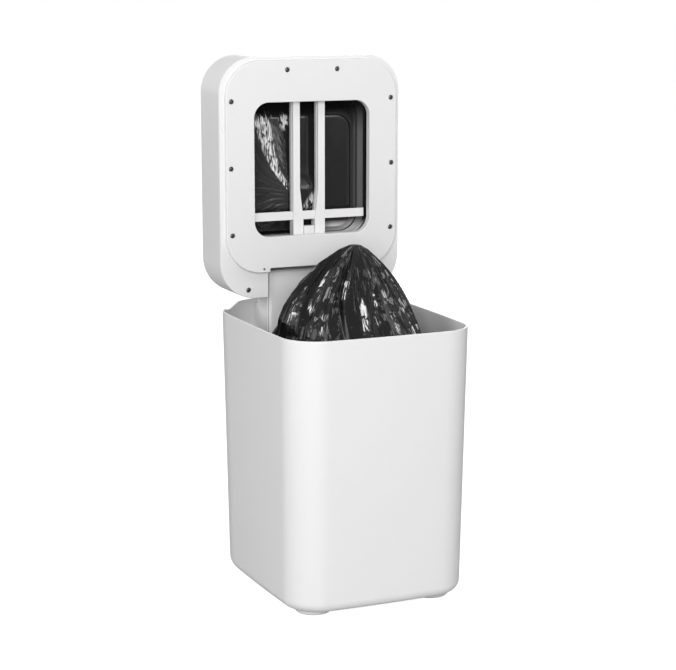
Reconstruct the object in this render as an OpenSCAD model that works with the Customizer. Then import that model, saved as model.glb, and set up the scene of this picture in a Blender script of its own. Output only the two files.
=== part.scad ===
// Self-sealing litter disposal pail, shown with its head swung up a quarter turn.
// Millimetres. Origin: centre of the footprint on the floor. -Y is the front, +Z is up.
// The head is modelled standing open: its underside faces -Y and its hinge end is its lower end.

/* [Bin] */
// Width of the bin at its rim
bin_w = 240; // [210:1:280]
// Depth of the bin at its rim
bin_d = 315.4; // [300:0.1:345]
// Height of the rim above the floor
rim_h = 332.2; // [300:0.1:380]
// Wall of the bin
bin_wall = 2.5; // [2:0.1:3.5]
// Corner radius of the bin at the front
front_r = 42; // [36:1:50]
// Corner radius of the bin at the back
back_r = 100; // [85:1:104]
// How far the corners draw in from the bulging sides
side_bulge = 3.4; // [0:0.1:5]
// Draft of each side from rim to floor
draft_x = 3.9; // [0:0.1:6]
// Draft of the front and of the back from rim to floor
draft_y = 7.7; // [0:0.1:10]
// Rounding between the walls and the floor
floor_r = 13; // [8:1:20]
// Clearance of the rim's dips round the head's swinging hinge end
rim_relief = 0.6; // [0.4:0.1:1.5]
// Thickness of the bin's floor
floor_t = 3; // [2:0.5:5]
// Height of the feet under the bin
foot_h = 6; // [4:0.5:10]
// Diameter of a foot
foot_d = 43; // [30:1:50]
// Distance of the feet's middles in from the sides
foot_side = 43; // [38:1:50]
// Distance of the front feet's middles in from the front
foot_ahead = 47.7; // [44:0.1:58]
// Distance of the back feet's middles in from the back
foot_behind = 81.7; // [76:0.1:98]

/* [Head] */
// How much shorter the head is than the bin is deep
head_short = 19.2; // [16:0.1:24]
// Depth of the head casing from its rim to its top face
head_t = 77; // [75:0.5:90]
// Wall of the head casing
head_wall = 2.5; // [2:0.1:3]
// Corner radius of the head seen from its top
head_r = 45; // [40:1:48]
// Rounding between the sides and the top face of the head
top_r = 16; // [10:1:20]
// Gap left between the closed head and the rim
seat_gap = 0.3; // [0.2:0.1:1]
// Distance of the hinge axis ahead of the bin's back
hinge_setback = 44.3; // [42:0.1:48]
// Height of the hinge axis above the closed head's rim
hinge_rise = 38.4; // [36:0.1:40]
// Width of the notch that straddles the hinge column
notch_w = 115.2; // [112:0.2:118]
// Depth of that notch from the hinge end
notch_len = 37.4; // [37:0.1:39]

/* [Base plate] */
// Wall of the base plate
plate_t = 2.5; // [2:0.1:3]
// Height by which the plate stands proud of its rim
plate_step = 7; // [5:0.5:8]
// Distance of the raised plate in from each side of the head
plate_inset = 6.2; // [5.5:0.1:7]
// Distance of the raised plate in from the head's front end
plate_front = 4.5; // [4:0.1:6]
// Distance of the raised plate in from the head's hinge end
plate_rear = 32.3; // [31:0.1:34]
// Distance of the window in from each side of the head
window_side = 42.9; // [41:0.1:47]
// Distance from the head's front end to the window
window_ahead = 55.3; // [52:0.1:60]
// Corner radius of the window
window_r = 19; // [14:1:24]
// Distance from the hinge end to the window
window_rear = 76; // [74:0.5:79]
// Depth of the collar round the window, from the plate's face
collar_d = 10; // [8:0.5:11]
// Diameter of the screw recesses
recess_d = 6.4; // [6:0.1:7]

/* [Gathering bars] */
// Depth of the bars' front faces behind the rim of the head
bar_set = 5; // [4.5:0.1:5.5]
// Width of a side bar
bar_w = 9.1; // [7:0.1:10]
// Half of the gap between the two side bars when they are together
bar_gap = 12.2; // [11:0.1:14]
// Half of the gap in the throat at the sealing block
throat_gap = 7.5; // [7:0.1:9]
// Thickness of the bars' front strip
bar_front_t = 2.4; // [2:0.1:3]
// Slot between the front and back strips
bar_slot = 3.6; // [3.2:0.1:4]
// Thickness of the bars' back strip
bar_back_t = 6; // [5:0.1:6.5]
// Height of the cross bar
cross_h = 10.6; // [8:0.1:12]
// Thickness of the cross bar
cross_t = 3; // [2:0.1:3.2]
// Distance of the cross bar above the window's lower edge
cross_rise = 17.9; // [17:0.1:20]
// Distance left between an opened side bar's inner edge and the window's side
side_rest = 4.9; // [4.8:0.1:20]
// How far the cross bar's travel carries it past the window's far edge
cross_over = 11.6; // [0:0.1:12]
// Diameter of the guide rods
rod_d = 5; // [4:0.5:6]
// Gear module of the pinion and the racks
gear_m = 0.8; // [0.7:0.1:0.8]
// Teeth on the pinion
gear_n = 10; // [10:1:10]

/* [Hinge] */
// Width of the hinge column
post_w = 94; // [84:1:96]
// Distance of the column's front face ahead of the hinge axis
post_front = 11.4; // [10:0.1:11.6]
// Depth of the column's upper part behind the hinge axis
post_back = 26.6; // [22:0.2:28]
// Height of the column's top above the hinge axis
post_top = 3; // [0:0.5:4]
// Height of the column's lower end above the floor
post_foot = 150; // [120:5:200]
// Rounding of the column's front and top edges
post_r = 6; // [3:0.5:8]
// Radius of the hinge knuckles
knuckle_r = 9; // [8:0.5:9.5]
// Diameter of the hinge pins
pin_d = 6; // [5:0.5:7]
// Running clearance of shafts and rods in their bores, on the diameter
run_fit = 0.12; // [0.06:0.02:0.16]
// Thickness of the hinge brackets
bracket_t = 4; // [3:0.5:5]

/* [Refill and waste lid] */
// Wall of the ring seat
seat_t = 2; // [1.6:0.1:2.5]
// How far the opening through the ring seat reaches past the window
seat_lip = 3.8; // [3.5:0.1:5]
// Distance of the ring seat in from each side of the head
seat_side = 20; // [19:0.5:24]
// How far the ring seat reaches past the window's length at each end
seat_end = 28.5; // [24:0.5:30]
// Depth of the neck under the ring
seat_neck = 20; // [12:1:24]
// Depth of the refill ring
ring_d = 22; // [16:1:28]
// Wall of the refill ring
ring_t = 1.4; // [1:0.1:2]
// How far the waste opening's sides stay inside the window
waste_side = 2.1; // [1.6:0.1:8]
// How far the waste opening's ends stay inside the window
waste_end = 4.4; // [2.5:0.1:10]
// Thickness of the waste lid
lid_t = 2.5; // [2:0.1:3]
// Radius of the waste lid's hinge barrel
barrel_r = 2.6; // [2.4:0.1:3]
// Diameter of the waste lid's hinge pin
lid_pin_d = 2; // [1.6:0.1:2.4]
// Diameter of the seal button
button_d = 9.6; // [8:0.2:10]

/* [Filled bag] */
// Height of the tied peak above the bin's rim
bag_rise = 87.8; // [70:0.1:92]
// Sideways lean of the peak
bag_lean = 14; // [0:1:20]
// Space between the bag and the walls around it
bag_gap = 8; // [6:1:12]

/* [Hidden] */
$fn = 64;
air = 0.3;
bin_x = bin_w / 2;
bin_y = bin_d / 2;
foot_x = bin_x - foot_side;
foot_front = bin_y - foot_ahead;
foot_back = bin_y - foot_behind;
bin_base = foot_h;
bag_top = rim_h + bag_rise;
head_len = bin_d - head_short;
hinge_reach = bin_d - hinge_setback;
cavity_base = bin_base + floor_t;
hinge_y = hinge_reach - bin_y;
hinge_z = rim_h + seat_gap + hinge_rise;
rim_y = hinge_y - hinge_rise;
face_y = rim_y - plate_step;
top_y = rim_y + head_t;
inner_y = top_y - head_wall;
end_z = hinge_z + hinge_reach;
tail_z = end_z - head_len;
plate_x = bin_x - plate_inset;
plate_z0 = tail_z + plate_rear;
plate_z1 = end_z - plate_front;
plate_r = head_r;
notch_x = notch_w / 2;
notch_z = tail_z + notch_len;
win_x = bin_x - window_side;
win_z0 = tail_z + window_rear;
win_z1 = end_z - window_ahead;
mid_z = (win_z0 + win_z1) / 2;
bar_y = rim_y + bar_set;
slot_y0 = bar_y + bar_front_t;
slot_y1 = slot_y0 + bar_slot;
bar_y1 = slot_y1 + bar_back_t;
rod_y = (bar_y + bar_y1) / 2;
cross_z0 = win_z0 + cross_rise;
cross_z1 = cross_z0 + cross_h;
cross_travel = win_z1 + cross_over - cross_z1;
side_travel = win_x - bar_gap - side_rest;
block_h = 12;
high_block = cross_z1 + cross_travel + 1.7;
low_block = win_z0 - 4;
high_rod = high_block + block_h / 2;
low_rod = low_block - block_h / 2;
bar_out = bar_gap + bar_w;
rail_x = bar_out + side_travel + 1.2;
rail_w = 18.6;
guide_x = rail_x + 4.2;
screw_x = rail_x + 13.6;
carriage_z0 = cross_z0 - 1.8;
carriage_z1 = cross_z1 + 1.7;
pitch_r = gear_m * gear_n / 2;
tip = 0.85 * gear_m;
root = 1.1 * gear_m;
rack_z = high_block + block_h + 1;
rack_h = 6;
motor_z0 = rack_z + rack_h + 1.5;
seat_y0 = bar_y1 + 3;
ring_y0 = seat_y0 + seat_neck + air;
hole_r = 24;
seat_r = 36;
seat_hole_x = win_x + seat_lip;
seat_hole_z = (win_z1 - win_z0) / 2 + seat_lip;
seat_x = bin_x - seat_side;
seat_z = (win_z1 - win_z0) / 2 + seat_end;
waste_w = 2 * (win_x - waste_side);
waste_len = win_z1 - win_z0 - 2 * waste_end;
lid_z0 = mid_z - waste_len / 2;
lid_axis_y = top_y - barrel_r;
lid_axis_z = lid_z0 + barrel_r + air;
front_zone = end_z - 14;
panel_z = end_z - 21;
post_face = hinge_y - post_front;
post_x = post_w / 2;
post_z1 = hinge_z + post_top;
knuckle_x0 = post_x - 5.5;
knuckle_x1 = notch_x - 0.4;
bracket_x = notch_x + 0.2;
damper_l = 14;
side_hole = plate_x - 7.4;
end_hole = bin_x - 86.9;
plate_holes = [for (s = [-1, 1]) each [
    [s * side_hole, win_z1 + 2.1], [s * (side_hole + 1), mid_z + 3.3], [s * side_hole, win_z0 + 4.1],
    [s * end_hole, end_z - 16.3]]];
tail_holes = [for (s = [-1, 1]) [s * (bin_x - 36.6), tail_z + 10.4]];
pinhole_x = notch_x + 7.5;
column_screw_x = [-post_x + 17, post_x - 17];
column_screw_z = [post_foot + 22, rim_h - 34];
motor_d = 12;
board_x1 = bin_x - 32;
board_x0 = board_x1 - 46;
board_y = top_y - 14;
button_x = bin_x - 60;
cell_x1 = -bin_x + 78;
cell_x0 = cell_x1 - 50;
socket_x = notch_x + 13.4;
socket_y = hinge_y + 20;

// Outlines

// Point of the bin's plan: a rounded rectangle whose corners draw in from bulging sides
function drawn_in(p, a, b) = [
    p.x * (1 - side_bulge / a * pow(p.y / b, 2)),
    p.y * (1 - side_bulge / b * pow(p.x / a, 2))];

function arc(cx, cy, r, a0) = [for (t = [0:7.5:90]) [cx + r * cos(a0 + t), cy + r * sin(a0 + t)]];

function between(p, q, n) = [for (i = [1:n - 1]) p + (q - p) * i / n];

function plan(a, b, rf, rb) = [for (p = concat(
    arc(a - rf, rf - b, rf, -90), between([a, rf - b], [a, b - rb], 6),
    arc(a - rb, b - rb, rb, 0), between([a - rb, b], [rb - a, b], 3),
    arc(rb - a, b - rb, rb, 90), between([-a, b - rb], [-a, rf - b], 6),
    arc(rf - a, rf - b, rf, 180), between([rf - a, -b], [a - rf, -b], 6)))
    drawn_in(p, a, b)];

// Thin slice of the tapering bin at height z, drawn in by inset
module bin_slice(z, inset) {
    share = (rim_h - z) / (rim_h - bin_base);
    a = bin_x - draft_x * share - inset;
    b = bin_y - draft_y * share - inset;
    translate([0, 0, z])
        linear_extrude(0.01)
            polygon(plan(a, b, max(front_r - inset, 6), back_r - inset));
}

// Solid that tapers like the bin, from z0 up past z1, drawn in by inset, with rounded lower edges
module bin_body(z0, z1, inset, r) {
    hull() {
        for (t = [0:22.5:90])
            bin_slice(z0 + r * (1 - cos(t)), inset + r * (1 - sin(t)));
        bin_slice(z1, inset);
    }
}

// Rounded rectangle
module rounded(x0, x1, z0, z1, r) {
    translate([x0 + r, z0])
        square([x1 - x0 - 2 * r, z1 - z0]);
    translate([x0, z0 + r])
        square([x1 - x0, z1 - z0 - 2 * r]);
    for (x = [x0 + r, x1 - r], z = [z0 + r, z1 - r])
        translate([x, z])
            circle(r);
}

// Upright slab: an outline in X and Z given depth from y0 back to y1
module slab(y0, y1) {
    translate([0, y1, 0])
        rotate([90, 0, 0])
            linear_extrude(y1 - y0)
                children();
}

// Box between two corners
module block(a, b) {
    translate(a)
        cube(b - a);
}

// Round bar along X, Y or Z
module bar_along_x(x0, x1, y, z, d) {
    translate([x0, y, z])
        rotate([0, 90, 0])
            cylinder(d = d, h = x1 - x0);
}

module bar_along_y(x, z, y0, y1, d) {
    translate([x, y0, z])
        rotate([-90, 0, 0])
            cylinder(d = d, h = y1 - y0);
}

module bar_along_z(x, y, z0, z1, d) {
    translate([x, y, z0])
        cylinder(d = d, h = z1 - z0);
}

module head_outline(inset) {
    rounded(-bin_x + inset, bin_x - inset, tail_z + inset, end_z - inset, head_r - inset);
}

module plate_outline(inset) {
    rounded(-plate_x + inset, plate_x - inset, plate_z0 + inset, plate_z1 - inset,
        plate_r - inset);
}

module window_outline(grow) {
    rounded(-win_x - grow, win_x + grow, win_z0 - grow, win_z1 + grow, window_r + grow);
}

module centred_outline(x, z, r) {
    rounded(-x, x, mid_z - z, mid_z + z, r);
}

// Bin and its stand

module bin() {
    color("white")
        difference() {
            bin_body(bin_base, rim_h, 0, floor_r);
            bin_body(cavity_base, rim_h + 1, bin_wall, floor_r - bin_wall);
            for (s = [-1, 1])
                tail_sweep(s);
            for (x = column_screw_x, z = column_screw_z)
                bar_along_y(x, z, post_face + 20, bin_y + 5, 4.4);
        }
}

// Space that a hinge-end corner of the head sweeps as the head closes
module tail_sweep(s) {
    straight = bin_x - head_r;
    hull()
        for (t = [0:15:75]) {
            drop = hinge_z - tail_z - head_r * (1 - cos(t));
            x = straight + head_r * sin(t) + (t == 0 ? -25 : 1);
            bar_along_x(s * x - 0.05, s * x + 0.05, hinge_y, hinge_z,
                2 * sqrt(pow(drop, 2) + pow(hinge_rise, 2)) + 2 * rim_relief);
        }
}

module foot(x, y) {
    color("whitesmoke")
        translate([x, y, 0]) {
            cylinder(d = foot_d - 3, h = foot_h);
            translate([0, 0, 1.5])
                cylinder(d = foot_d, h = foot_h - 1.5);
        }
}

module foot_front_left() { foot(-foot_x, -foot_front); }
module foot_front_right() { foot(foot_x, -foot_front); }
module foot_back_left() { foot(-foot_x, foot_back); }
module foot_back_right() { foot(foot_x, foot_back); }

// Hinge column and pins

module post_outline(inset) {
    x = post_x - inset;
    y0 = post_face + inset;
    r = post_r;
    translate([-x, y0 + r])
        square([2 * x, bin_y - y0 - r]);
    translate([-x + r, y0])
        square([2 * (x - r), r + 1]);
    for (s = [-1, 1])
        translate([s * (x - r), y0 + r])
            circle(r);
}

module post_side(inset) {
    y0 = post_face + inset;
    y1 = hinge_y + post_back - inset;
    z1 = post_z1 - inset;
    translate([y0, post_foot])
        square([y1 - y0, z1 - post_foot - post_r]);
    translate([y0 + post_r, post_foot])
        square([y1 - y0 - 2 * post_r, z1 - post_foot]);
    for (y = [y0 + post_r, y1 - post_r])
        translate([y, z1 - post_r])
            circle(post_r);
}

// The post's side view, run across the whole width
module post_side_run(inset) {
    translate([-post_x - 1, 0, 0])
        rotate([90, 0, 90])
            linear_extrude(post_w + 2)
                post_side(inset);
}

module post_solid(inset) {
    intersection() {
        translate([0, 0, post_foot + inset])
            linear_extrude(post_z1)
                post_outline(inset);
        union() {
            post_side_run(inset);
            block([-post_x, post_face + 10, post_foot], [post_x, bin_y, rim_h - 6]);
        }
    }
}

module hinge_column() {
    color("whitesmoke")
        difference() {
            union() {
                intersection() {
                    post_solid(0);
                    union() {
                        bin_body(cavity_base, rim_h, bin_wall + air / 3, floor_r - bin_wall);
                        block([-post_x, 0, rim_h - 6.5], [post_x, hinge_y + post_back, post_z1]);
                    }
                }
                for (s = [-1, 1])
                    bar_along_x(min(s * knuckle_x0, s * knuckle_x1),
                        max(s * knuckle_x0, s * knuckle_x1), hinge_y, hinge_z, 2 * knuckle_r);
            }
            block([-post_x + 3, post_face + 3, post_foot + 3],
                [post_x - 3, post_face + 30, rim_h - 8]);
            for (s = [-1, 1])
                bar_along_x(min(s * knuckle_x1, s * (knuckle_x0 - 1)) - 0.5,
                    max(s * knuckle_x1, s * (knuckle_x0 - 1)) + 0.5, hinge_y, hinge_z,
                    pin_d + 0.04);
            for (x = column_screw_x, z = column_screw_z)
                bar_along_y(x, z, post_face + 29, bin_y, 3.1);
        }
}

module column_screws() {
    color("silver")
        for (x = column_screw_x, z = column_screw_z) {
            face = bin_y - draft_y * (rim_h - z) / (rim_h - bin_base) - 0.2;
            bar_along_y(x, z, face - 16, face, 3);
            bar_along_y(x, z, face + 0.3, face + 2.3, 7);
            bar_along_y(x, z, face - 1, face + 1, 3);
        }
}

module hinge_pin(s) {
    x0 = knuckle_x0 + 0.2;
    x1 = bracket_x + bracket_t + damper_l + 1.5;
    color("silver")
        bar_along_x(min(s * x0, s * x1), max(s * x0, s * x1), hinge_y, hinge_z, pin_d);
}

module hinge_pin_left() { hinge_pin(-1); }
module hinge_pin_right() { hinge_pin(1); }

// Filled bag standing in the bin

module filled_bag() {
    back = post_face - bag_gap;
    front = -bin_y + bin_wall + bag_gap;
    mid = (front + back) / 2;
    side = bin_x - bin_wall - bag_gap;
    color("#1b1b1d")
        hull() {
            translate([0, mid, cavity_base + 0.2])
                linear_extrude(2)
                    rounded(-side + 18, side - 18, front + 22 - mid, back - 14 - mid, 36);
            translate([0, mid, cavity_base + 30])
                linear_extrude(bag_top - 140)
                    rounded(-side + 6, side - 6, front + 10 - mid, back - 6 - mid, 44);
            for (p = [[0, 78, 66], [0.4, 51, 30], [0.75, 26, 10], [1, 8, 1.5]])
                translate([bag_lean * p[0], mid, bag_top - p[2]])
                    cylinder(r = p[1], h = 1);
        }
}

// Head casing

module screw_post(x, z, y0) {
    bar_along_y(x, z, y0, inner_y + 1, 6.4);
}

module head_shell() {
    color("white")
        difference() {
            union() {
                difference() {
                    casing(0, rim_y + plate_t + air, top_y);
                    casing(head_wall, rim_y - 1, inner_y);
                }
                // Wall across the notch
                intersection() {
                    block([-notch_x - head_wall, rim_y + plate_t + air, notch_z],
                        [notch_x + head_wall, inner_y + 1, notch_z + head_wall]);
                    casing(0.5, rim_y, top_y);
                }
                for (p = plate_holes)
                    screw_post(p.x, p.y, face_y + 5.8);
                for (p = tail_holes)
                    screw_post(p.x, p.y, rim_y + 5.8);
                // Bosses for the lid pin
                for (s = [-1, 1])
                    intersection() {
                        bar_along_x(s * (waste_w / 2 + 4.7) - 3, s * (waste_w / 2 + 4.7) + 3,
                            lid_axis_y, lid_axis_z, 2 * barrel_r + 3);
                        block([-bin_x, rim_y, tail_z], [bin_x, top_y, end_z]);
                    }
                // Posts for the control board
                for (x = [board_x0 + 5, board_x1 - 5])
                    bar_along_y(x, front_zone, board_y + 1.6, inner_y + 1, 6);
            }
            // Notch over the hinge column
            block([-notch_x, rim_y - 1, tail_z - 1], [notch_x, hinge_y + post_back + 1.3, notch_z]);
            slab(inner_y - 3, top_y + 1)
                rounded(-waste_w / 2, waste_w / 2, lid_z0, lid_z0 + waste_len, 4);
            block([-waste_w / 2, inner_y - 3, lid_z0], [waste_w / 2, top_y + 1, lid_z0 + 8]);
            bar_along_x(-waste_w / 2 - 7, waste_w / 2 + 7, lid_axis_y, lid_axis_z, lid_pin_d + 0.04);
            bar_along_y(button_x, panel_z, inner_y - 1, top_y + 1, button_d + 2 * air);
            slab(inner_y - 1, top_y + 1)
                rounded(-9, 9, panel_z - 4, panel_z + 4, 3.9);
            for (p = plate_holes)
                bar_along_y(p.x, p.y, face_y, face_y + 18, 3.06);
            for (p = tail_holes)
                bar_along_y(p.x, p.y, rim_y, rim_y + 18, 3.06);
            block([socket_x - 5, socket_y - 4, tail_z - 1], [socket_x + 5, socket_y + 4, tail_z + 12.3]);
        }
}

// Casing outline with rounded far edges, drawn in by inset
module casing(inset, y0, y1) {
    r = top_r - inset;
    hull() {
        slab(y0, y1 - r)
            head_outline(inset);
        for (t = [22.5:22.5:90])
            slab(y1 - r, y1 - r * (1 - sin(t)))
                head_outline(inset + r * (1 - cos(t)));
    }
}

// Base plate: raised plate, window collar and rim in one moulding

module screw_seat(x, z, y0) {
    bar_along_y(x, z, y0 + 1, y0 + 5.5, 10.4);
}

module screw_recess(x, z, y0) {
    bar_along_y(x, z, y0 - 1, y0 + 3, recess_d);
    bar_along_y(x, z, y0, y0 + 8, 3.3);
}

module base_plate() {
    color("white")
        difference() {
            union() {
                difference() {
                    union() {
                        slab(rim_y, rim_y + plate_t)
                            head_outline(0);
                        slab(face_y, rim_y + 1)
                            plate_outline(0);
                    }
                    slab(face_y + plate_t, rim_y + plate_t + 1)
                        plate_outline(plate_t);
                }
                slab(face_y + 1, face_y + collar_d)
                    window_outline(plate_t);
                for (p = plate_holes)
                    screw_seat(p.x, p.y, face_y);
                for (p = tail_holes)
                    screw_seat(p.x, p.y, rim_y);
                rod_supports();
                motor_cradle();
            }
            slab(face_y - 1, face_y + collar_d + 1)
                window_outline(0);
            slab(face_y - 1, rim_y + plate_t + 1)
                rounded(-notch_x, notch_x, tail_z - 5, notch_z, 0.5);
            for (p = plate_holes)
                screw_recess(p.x, p.y, face_y);
            for (p = tail_holes)
                screw_recess(p.x, p.y, rim_y);
            bar_along_y(-pinhole_x, plate_z0 + 4, face_y - 1, face_y + plate_t + 1, 2.8);
            for (z = [high_rod, low_rod])
                bar_along_x(-rail_x - 5, rail_x + 5, rod_y, z, rod_d + 0.04);
            bar_along_z(-guide_x, rod_y, carriage_z0 - 16, high_rod + 3, rod_d + 0.04);
            bar_along_z(-screw_x, rod_y, high_rod - 8, high_rod + 3, rod_d + run_fit);
            bar_along_z(0, rod_y, rack_z - 1, end_z - 6, motor_d + 0.1);
        }
}

// Blocks on the plate that hold the guide rods
module rod_supports() {
    y0 = face_y + 1;
    y1 = rod_y + 5;
    block([-rail_x - rail_w, y0, high_block + 0.5], [-rail_x, y1, high_rod + 5]);
    block([-rail_x - 8, y0, low_rod - 5], [-rail_x, y1, carriage_z0 - 8]);
    block([rail_x, y0, high_rod - 5], [rail_x + 6, y1, high_rod + 5]);
    block([rail_x, y0, low_rod - 5], [rail_x + 6, y1, low_rod + 5]);
}

module motor_cradle() {
    block([-7.5, face_y + 1, motor_z0 + 2], [7.5, rod_y, motor_z0 + 12]);
}

module head_screw(x, z, y0) {
    bar_along_y(x, z, y0 + 0.9, y0 + 2.7, 5.8);
    bar_along_y(x, z, y0 + 2, y0 + 15, 3);
}

module plate_screws() {
    color("dimgray") {
        for (p = plate_holes)
            head_screw(p.x, p.y, face_y);
        for (p = tail_holes)
            head_screw(p.x, p.y, rim_y);
    }
}

// Brackets and dampers at the hinge

module hinge_bracket(s) {
    x0 = bracket_x;
    x1 = bracket_x + bracket_t;
    y0 = rim_y + plate_t + air / 2;
    color("gainsboro")
        difference() {
            union() {
                block([min(s * x0, s * x1), y0, tail_z + head_wall + air],
                    [max(s * x0, s * x1), top_y - top_r, notch_z - air]);
                block([min(s * x0, s * (x1 + 9)), y0, tail_z + 22],
                    [max(s * x0, s * (x1 + 9)), y0 + 3, notch_z - 4]);
            }
            bar_along_x(min(s * x0, s * x1) - 1, max(s * x0, s * x1) + 1, hinge_y, hinge_z,
                pin_d + run_fit);
        }
}

module hinge_bracket_left() { hinge_bracket(-1); }
module hinge_bracket_right() { hinge_bracket(1); }

module hinge_damper(s) {
    x0 = bracket_x + bracket_t + 0.1;
    x1 = x0 + damper_l;
    color("dimgray")
        difference() {
            bar_along_x(min(s * x0, s * x1), max(s * x0, s * x1), hinge_y, hinge_z, 18);
            bar_along_x(min(s * x0, s * x1) - 1, max(s * x0, s * x1) + 1, hinge_y, hinge_z,
                pin_d + run_fit);
        }
}

module hinge_damper_left() { hinge_damper(-1); }
module hinge_damper_right() { hinge_damper(1); }

// Gathering bars. Each side bar is two strips with a slot for the cross bar between them

module bar_outline(back) {
    flare_z0 = cross_z0;
    flare_z1 = cross_z0 + 38;
    polygon([
        [bar_out, low_block - block_h], [bar_out, high_block + block_h],
        [bar_gap, high_block + block_h], [bar_gap, flare_z1],
        [back ? bar_gap : throat_gap + 0.3, flare_z0], [throat_gap + 0.3, low_block - block_h]]);
}

module side_bar_blank() {
    difference() {
        slab(bar_y, bar_y1)
            bar_outline(false);
        block([0, slot_y0, cross_z0 - 0.4], [bar_out + 1, slot_y1, cross_z1 + cross_travel + 0.5]);
        for (z = [low_rod, high_rod])
            bar_along_x(-1, bar_out + 1, rod_y, z, rod_d + run_fit);
    }
}

// Rack along X with its pitch line at y and its teeth facing side s
module rack(x0, x1, y, s, phase) {
    pitch = PI * gear_m;
    n = floor((x1 - x0 - pitch) / pitch);
    base = y + s * (root + 2.6);
    block([x0, min(base, y + s * root), rack_z], [x1, max(base, y + s * root), rack_z + rack_h]);
    for (i = [0:n])
        translate([phase + pitch * (ceil((x0 - phase) / pitch) + i) + pitch / 4, y, rack_z])
            linear_extrude(rack_h)
                polygon([[-0.3 * pitch, s * (root + 0.1)], [0.3 * pitch, s * (root + 0.1)],
                    [0.13 * pitch, -s * tip], [-0.13 * pitch, -s * tip]]);
}

module side_bar_right() {
    color("white") {
        side_bar_blank();
        rack(-side_travel - 10, bar_out, rod_y + pitch_r, 1, PI * gear_m / 2);
        block([bar_gap, rod_y + pitch_r + root, high_block + 4],
            [bar_out, rod_y + pitch_r + root + 2.6, rack_z + rack_h]);
    }
}

module side_bar_left() {
    color("white") {
        mirror([1, 0, 0])
            side_bar_blank();
        rack(-bar_out, side_travel + 10, rod_y - pitch_r, -1, 0);
        block([-bar_out, rod_y - pitch_r - root - 2.6, high_block + 4],
            [-bar_gap, rod_y - pitch_r - root, rack_z + rack_h]);
    }
}

module cross_bar() {
    y0 = slot_y0 + (bar_slot - cross_t) / 2;
    color("white")
        difference() {
            union() {
                block([-rail_x - 4, y0, cross_z0], [win_x - 1.4, y0 + cross_t, cross_z1]);
                block([-rail_x - rail_w, rod_y - 6.3, carriage_z0], [-rail_x, rod_y + 6.3, carriage_z1]);
            }
            bar_along_z(-guide_x, rod_y, carriage_z0 - 1, carriage_z1 + 1, rod_d + run_fit);
            bar_along_z(-screw_x, rod_y, carriage_z0 - 1, carriage_z1 + 1, rod_d + run_fit);
        }
}

module clamp_pad() {
    y0 = slot_y0 + (bar_slot - cross_t) / 2;
    color("black")
        block([-5.5, y0, cross_z0 - 1], [5.5, y0 + cross_t, cross_z0]);
}

module guide_rod_upper() {
    color("silver")
        bar_along_x(-rail_x - 4.8, rail_x + 4.8, rod_y, high_rod, rod_d);
}

module guide_rod_lower() {
    color("silver")
        bar_along_x(-rail_x - 4.8, rail_x + 4.8, rod_y, low_rod, rod_d);
}

module cross_rod() {
    color("silver")
        bar_along_z(-guide_x, rod_y, carriage_z0 - 15.8, high_rod - 3, rod_d);
}

module drive_screw() {
    color("silver")
        bar_along_z(-screw_x, rod_y, carriage_z0 - 14, high_rod + 2.5, rod_d);
}

module cross_motor() {
    z1 = carriage_z0 - 6;
    color("silver")
        difference() {
            block([-screw_x - 5, face_y + plate_t + air / 3, z1 - 24], [-screw_x + 5, rod_y + 6, z1]);
            bar_along_z(-screw_x, rod_y, z1 - 8.3, z1 + 1, rod_d + run_fit);
        }
}

module gather_motor() {
    color("silver")
        difference() {
            bar_along_z(0, rod_y, motor_z0, motor_z0 + 14, motor_d);
            bar_along_z(0, rod_y, motor_z0 - 1, motor_z0 + 6, 2 + run_fit);
        }
}

module gather_pinion() {
    step = 360 / gear_n;
    pitch = PI * gear_m;
    color("gainsboro")
        translate([0, rod_y, rack_z])
            union() {
                cylinder(r = pitch_r - root, h = rack_h);
                cylinder(d = 2, h = rack_h + 7);
                for (i = [0:gear_n - 1])
                    rotate([0, 0, i * step - 90 - step / 4])
                        linear_extrude(rack_h)
                            polygon([[pitch_r - root - 0.5, -0.26 * pitch],
                                [pitch_r + tip, -0.12 * pitch], [pitch_r + tip, 0.12 * pitch],
                                [pitch_r - root - 0.5, 0.26 * pitch]]);
            }
}

module sealing_block() {
    x = throat_gap - 0.4;
    color("white")
        difference() {
            union() {
                block([-x, bar_y, low_rod - 6], [x, bar_y1 - 1, cross_z0 - 8.1]);
                block([-x, face_y + plate_t + air / 3, low_rod - 6], [x, bar_y + 1, win_z0 - 4]);
            }
            bar_along_x(-x - 1, x + 1, rod_y, low_rod, rod_d + 1);
        }
}

module heating_strip() {
    color("dimgray")
        block([-5, bar_y + 1, cross_z0 - 8.1], [5, bar_y1 - 2, cross_z0 - 7.5]);
}

// Refill ring and its seat

module ring_seat() {
    y1 = seat_y0 + seat_neck;
    color("gainsboro")
        difference() {
            union() {
                slab(seat_y0, y1)
                    centred_outline(seat_hole_x + seat_t, seat_hole_z + seat_t, hole_r + seat_t);
                slab(y1 - seat_t, inner_y - 0.1)
                    centred_outline(seat_x, seat_z, seat_r);
            }
            slab(seat_y0 - 1, y1 + 1)
                centred_outline(seat_hole_x, seat_hole_z, hole_r);
            slab(y1, inner_y + 1)
                centred_outline(seat_x - seat_t, seat_z - seat_t, seat_r - seat_t);
        }
}

module ring_section(grow_in, grow_out, y0, y1) {
    slab(y0, y1)
        difference() {
            centred_outline(seat_x - seat_t - air - grow_out, seat_z - seat_t - air - grow_out,
                seat_r - seat_t - air - grow_out);
            centred_outline(seat_hole_x + grow_in, seat_hole_z + grow_in, hole_r + grow_in);
        }
}

module refill_ring() {
    color("#303236")
        difference() {
            ring_section(0, 0, ring_y0, ring_y0 + ring_d);
            ring_section(ring_t, ring_t, ring_y0 + ring_t, ring_y0 + ring_d + 1);
        }
}

module film_pack() {
    color("#1b1b1d")
        ring_section(ring_t + 0.2, ring_t + 0.2, ring_y0 + ring_t + 0.1, ring_y0 + ring_d - 3);
}

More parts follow.
